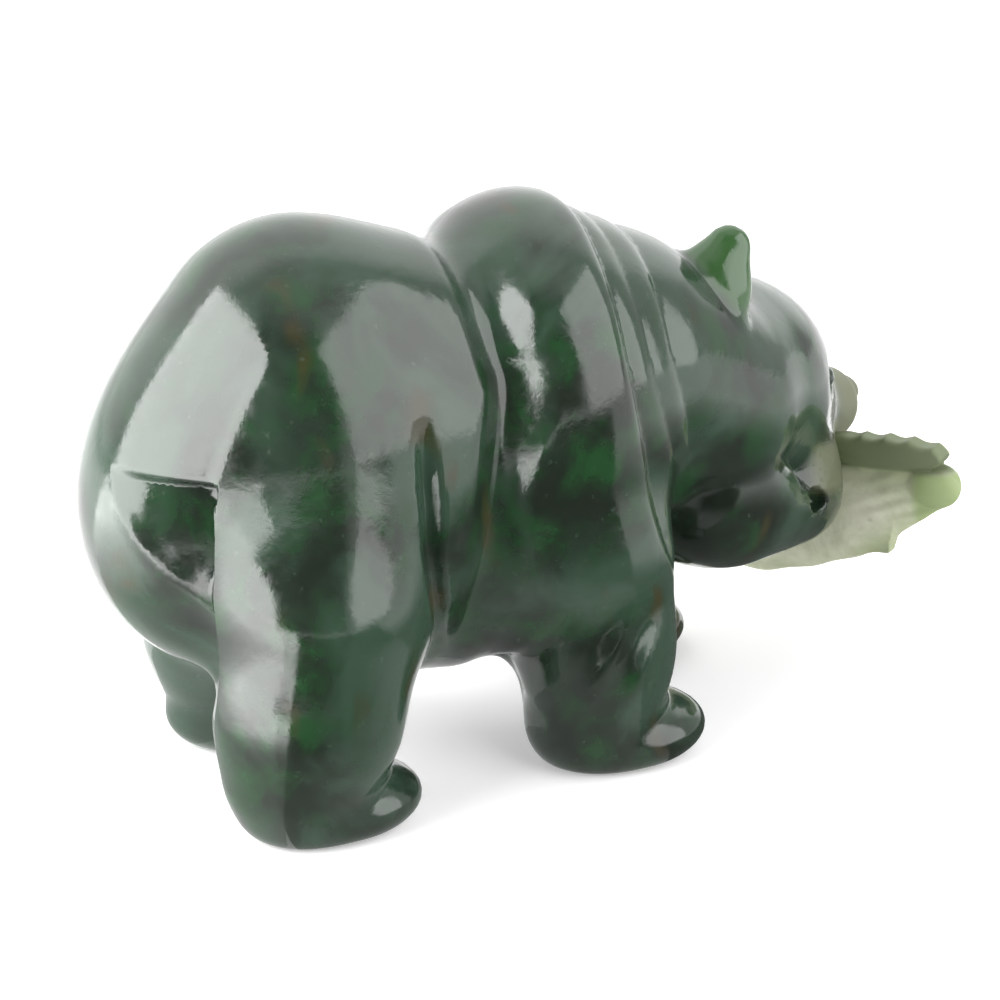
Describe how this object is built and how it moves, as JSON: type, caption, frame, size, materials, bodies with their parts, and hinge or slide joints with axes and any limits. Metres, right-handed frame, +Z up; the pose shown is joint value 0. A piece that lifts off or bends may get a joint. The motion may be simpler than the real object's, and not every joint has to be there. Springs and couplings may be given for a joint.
{
  "type": "carved bear sculpture",
  "caption": "Walking bear with its head turned and a salmon held across its mouth, carved from one block of polished stone, standing on flat soles.",
  "frame": {"origin": "on the ground plane, under the centre of the bounding box of the whole carving", "axes": "+X the way the body walks, +Y the bear's left, the side its head turns towards, +Z up"},
  "size_m": [0.1076, 0.0574, 0.064],
  "materials": {
    "nephrite": "dark green nephrite jade, polished to a mirror gloss; the salmon and the end of the muzzle are left matt and pale"
  },
  "bodies": {
    "root": {"bear_with_salmon": "nephrite"}
  },
  "joints": []
}
